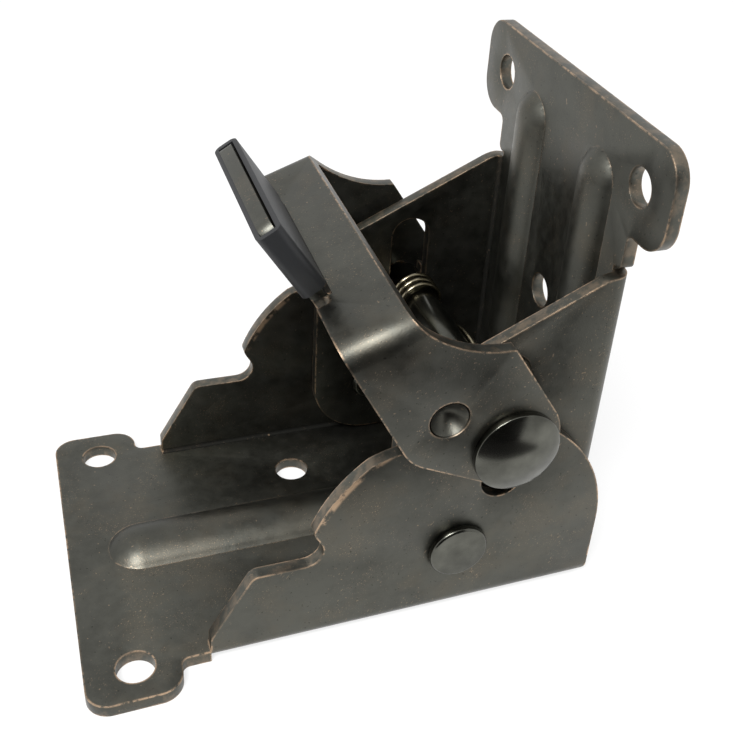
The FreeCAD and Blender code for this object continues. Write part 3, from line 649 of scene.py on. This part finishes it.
class BRACKET_OT_spring(bpy.types.Operator):
    """Wind the double torsion spring round the lock pin"""
    bl_idname = "bracket.spring"
    bl_label = "Lock spring"

    def execute(self, context):
        material = spring_wire()
        points = spring_path()
        mesh = bpy.data.meshes.new("spring_line")
        mesh.from_pydata([tuple(p) for p in points], [(i, i + 1) for i in range(len(points) - 1)], [])
        line = link_object("spring_line", mesh)
        tree = wire_tree(material)
        modifier = line.modifiers.new("wire", "NODES")
        modifier.node_group = tree
        modifier[socket_id(tree, "Wire radius")] = sizes().wire_radius
        modifier[socket_id(tree, "Sides")] = SPRING_SIDES
        evaluated = line.evaluated_get(bpy.context.evaluated_depsgraph_get())
        made = bpy.data.meshes.new_from_object(evaluated)
        line.modifiers.remove(modifier)
        bpy.data.objects.remove(line)
        made.materials.clear()
        made.materials.append(material)
        for face in made.polygons:
            face.use_smooth = True
            face.material_index = 0
        made.set_sharp_from_angle(angle=WIRE_SHADING_TURN)
        spring = link_object("wound_lock_spring", made)
        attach(spring, body_of("lock_spring"))
        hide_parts("lock_spring")
        return {"FINISHED"}


def floor_material():
    """Pale studio floor that shows white to the camera and keeps a soft shadow."""
    material, tree, shader = new_material("studio_floor")
    shader.inputs["Base Color"].default_value = colours().floor
    shader.inputs["Roughness"].default_value = 0.9
    white = add_node(tree, "ShaderNodeEmission", Color=(1, 1, 1, 1), Strength=1.0)
    path = add_node(tree, "ShaderNodeLightPath")
    mirrored = add_node(tree, "ShaderNodeMath", LARGER, i0=path.outputs["Is Glossy Ray"],
                        i1=path.outputs["Is Transmission Ray"])
    in_mirrors = add_node(tree, "ShaderNodeMath", TIMES, i0=mirrored, i1=FLOOR_MIRRORED)
    seen = add_node(tree, "ShaderNodeMath", TIMES_PLUS, i0=path.outputs["Is Camera Ray"],
                    i1=FLOOR_SEEN, i2=in_mirrors)
    mix = add_node(tree, "ShaderNodeMixShader", i0=seen, i1=shader, i2=white)
    output = next(n for n in tree.nodes if n.type == "OUTPUT_MATERIAL")
    tree.links.new(mix.outputs["Shader"], output.inputs["Surface"])
    return material


def photo_camera():
    """Camera at the photograph's place, with its small tilt and shift."""
    data = bpy.data.cameras.new("photo_camera")
    data.sensor_fit = "HORIZONTAL"
    data.sensor_width = FILM_WIDTH
    data.lens = FILM_WIDTH * FOCAL_PIXELS / PHOTO_PIXELS
    data.shift_x = 0.5 - PHOTO_CENTRE[0] / PHOTO_PIXELS
    data.shift_y = PHOTO_CENTRE[1] / PHOTO_PIXELS - 0.5
    data.clip_start = 10 * MM
    data.clip_end = 20.0
    back = CAMERA_BACK.normalized()
    right = (-back).cross(Vector((0, 0, 1))).normalized()
    up = right.cross(-back)
    tilted_right = right * math.cos(CAMERA_ROLL) + up * math.sin(CAMERA_ROLL)
    tilted_up = up * math.cos(CAMERA_ROLL) - right * math.sin(CAMERA_ROLL)
    camera = bpy.data.objects.new("photo_camera", data)
    turn = Matrix((tilted_right, tilted_up, back)).transposed().to_4x4()
    camera.matrix_world = Matrix.Translation(CAMERA_PLACE) @ turn
    bpy.context.scene.collection.objects.link(camera)
    bpy.context.scene.camera = camera


def dark_card():
    """Painted shade for the reflections: the unlit side of the room in front of the bracket, which only
    gloss shows, as a dark strip and a wall.
    """
    mesh = bpy.data.meshes.new("dark_card")
    left, right, near, far = -0.22, 0.10, -0.070, -0.16
    low, top, spread = 0.002, 0.22, 0.08
    mesh.from_pydata([(left, near, low), (right, near, low), (right, far, low), (left, far, low),
                      (right + spread, far, top), (left, far, top)],
                     [], [(0, 1, 2, 3), (3, 2, 4, 5)])
    material, tree, shader = new_material("reflected_room_shade")
    shader.inputs["Base Color"].default_value = colours().card
    shader.inputs["Roughness"].default_value = 0.9
    mesh.materials.append(material)
    card = link_object("dark_card", mesh)
    card.visible_camera = False
    card.visible_diffuse = False
    card.visible_shadow = False


def soft_light(name, place, target, width, power):
    """Square studio lamp aimed at a point."""
    data = bpy.data.lights.new(name, "AREA")
    data.shape = "SQUARE"
    data.size = width
    data.energy = power
    lamp = bpy.data.objects.new(name, data)
    lamp.location = place
    lamp.rotation_euler = (Vector(target) - Vector(place)).to_track_quat("-Z", "Y").to_euler()
    bpy.context.scene.collection.objects.link(lamp)


class BRACKET_OT_stage(bpy.types.Operator):
    """Set the floor, the lamp, the sky, the dark card and the camera"""
    bl_idname = "bracket.stage"
    bl_label = "Stage and camera"

    def execute(self, context):
        scene = bpy.context.scene
        scene.view_settings.view_transform = "Standard"
        mesh = bpy.data.meshes.new("studio_floor")
        corners = [(-1, -1), (1, -1), (1, 1), (-1, 1)]
        mesh.from_pydata([(FLOOR_REACH * x, FLOOR_REACH * y, 0) for x, y in corners], [], [(0, 1, 2, 3)])
        mesh.materials.append(floor_material())
        link_object("studio_floor", mesh)
        world = bpy.data.worlds.new("studio_sky")
        world.use_nodes = True
        tree = world.node_tree
        tree.nodes.clear()
        path = add_node(tree, "ShaderNodeLightPath")
        seen = add_node(tree, "ShaderNodeMath", LARGER, i0=path.outputs["Is Camera Ray"],
                        i1=path.outputs["Is Transmission Ray"])
        seen = add_node(tree, "ShaderNodeMath", LARGER, i0=path.outputs["Is Glossy Ray"], i1=seen)
        sky = add_node(tree, "ShaderNodeMapRange", Value=seen, To_Min=SKY_LIGHT, To_Max=1.0)
        light = add_node(tree, "ShaderNodeBackground", Color=(1, 1, 1, 1), Strength=sky)
        add_node(tree, "ShaderNodeOutputWorld", Surface=light)
        scene.world = world
        soft_light("key_lamp", LAMP_PLACE, LAMP_TARGET, LAMP_WIDTH, LAMP_POWER)
        dark_card()
        photo_camera()
        return {"FINISHED"}


class BRACKET_PT_panel(bpy.types.Panel):
    """Steps and settings of the bracket"""
    bl_idname = "BRACKET_PT_panel"
    bl_label = "Leg Bracket"
    bl_space_type = "VIEW_3D"
    bl_region_type = "UI"
    bl_category = "Leg Bracket"

    def draw(self, context):
        column = self.layout.column(align=True)
        for step in STEPS:
            column.operator(step.bl_idname)
        for name in BracketSizes.__annotations__:
            self.layout.prop(sizes(), name)
        for name in BracketColours.__annotations__:
            self.layout.prop(colours(), name)


STEPS = (BRACKET_OT_stage, BRACKET_OT_sheets, BRACKET_OT_grip, BRACKET_OT_pins, BRACKET_OT_spring)
CLASSES = (BracketSizes, BracketColours) + STEPS + (BRACKET_PT_panel,)


def register():
    for item in CLASSES:
        bpy.utils.register_class(item)
    bpy.types.Scene.bracket_sizes = bpy.props.PointerProperty(type=BracketSizes)
    bpy.types.Scene.bracket_colours = bpy.props.PointerProperty(type=BracketColours)


def unregister():
    del bpy.types.Scene.bracket_colours
    del bpy.types.Scene.bracket_sizes
    for item in reversed(CLASSES):
        bpy.utils.unregister_class(item)


def main():
    register()
    bpy.ops.bracket.stage()
    bpy.ops.bracket.sheets()
    bpy.ops.bracket.grip()
    bpy.ops.bracket.pins()
    bpy.ops.bracket.spring()


if __name__ == "__main__":
    main()
